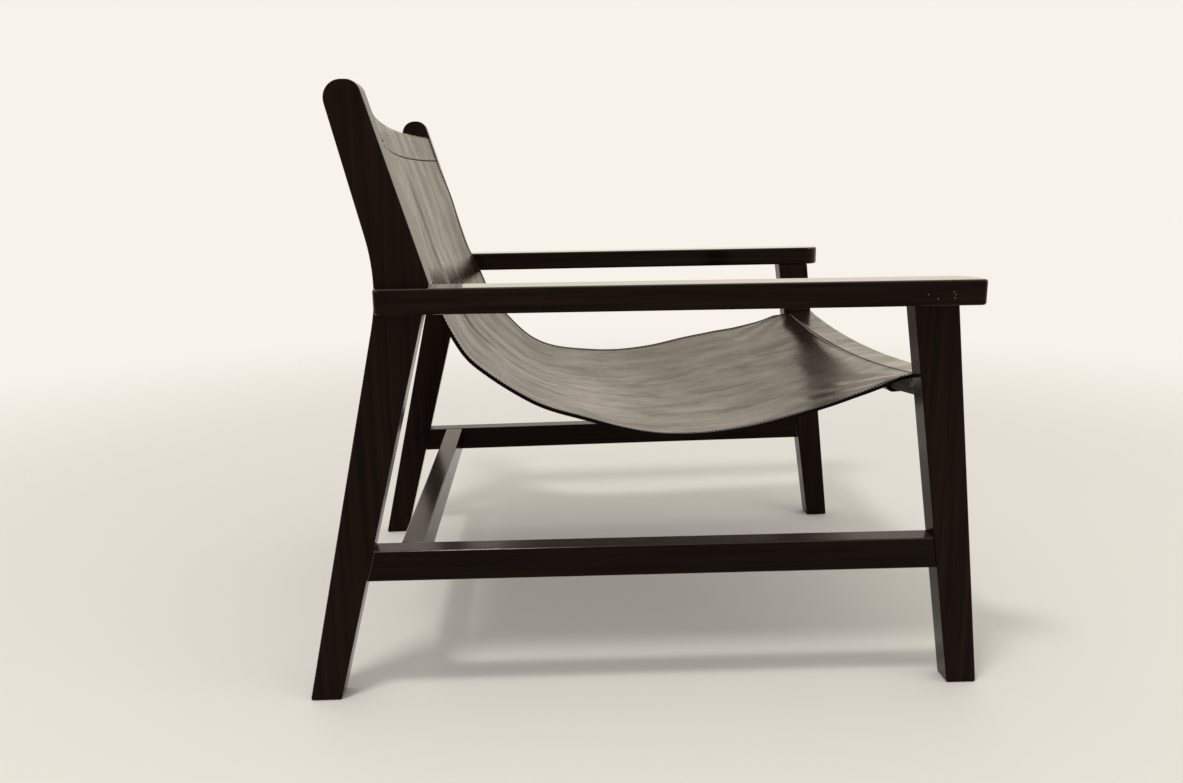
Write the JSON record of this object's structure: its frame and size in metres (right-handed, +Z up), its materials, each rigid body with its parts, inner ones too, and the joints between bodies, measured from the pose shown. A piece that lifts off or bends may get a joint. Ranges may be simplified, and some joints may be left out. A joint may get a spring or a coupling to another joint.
{
  "type": "leather sling lounge chair",
  "caption": "Low lounge chair with splayed wooden side frames, flat arms and a leather hide slung from two dished rails between the frames.",
  "frame": {"origin": "on the floor, midway between the toes and the heels and between the two side frames", "axes": "+Z up, the front of the chair faces -Y, +X to the sitter's left"},
  "size_m": [0.7152, 0.8632, 0.76],
  "materials": {
    "ebonised_wood": "semi-gloss black-brown stain and lacquer",
    "leather": "polished black saddle leather",
    "steel": "zinc plated",
    "beech": "plain beech dowel"
  },
  "bodies": {
    "root": {"rear_leg_right": "ebonised_wood", "rear_leg_left": "ebonised_wood", "front_leg_right": "ebonised_wood", "front_leg_left": "ebonised_wood", "arm_right": "ebonised_wood", "arm_left": "ebonised_wood", "side_stretcher_right": "ebonised_wood", "side_stretcher_left": "ebonised_wood", "rear_cross_stretcher": "ebonised_wood", "top_rail": "ebonised_wood", "front_rail": "ebonised_wood", "top_rail_stud_right": "steel", "top_rail_stud_left": "steel", "top_rail_barrel_nut_right": "steel", "top_rail_barrel_nut_left": "steel", "front_rail_stud_right": "steel", "front_rail_stud_left": "steel", "front_rail_barrel_nut_right": "steel", "front_rail_barrel_nut_left": "steel", "arm_dowel_front_right": "beech", "arm_dowel_front_left": "beech", "arm_dowel_rear_right": "beech", "arm_dowel_rear_left": "beech", "leather_sling": "leather"}
  },
  "joints": []
}
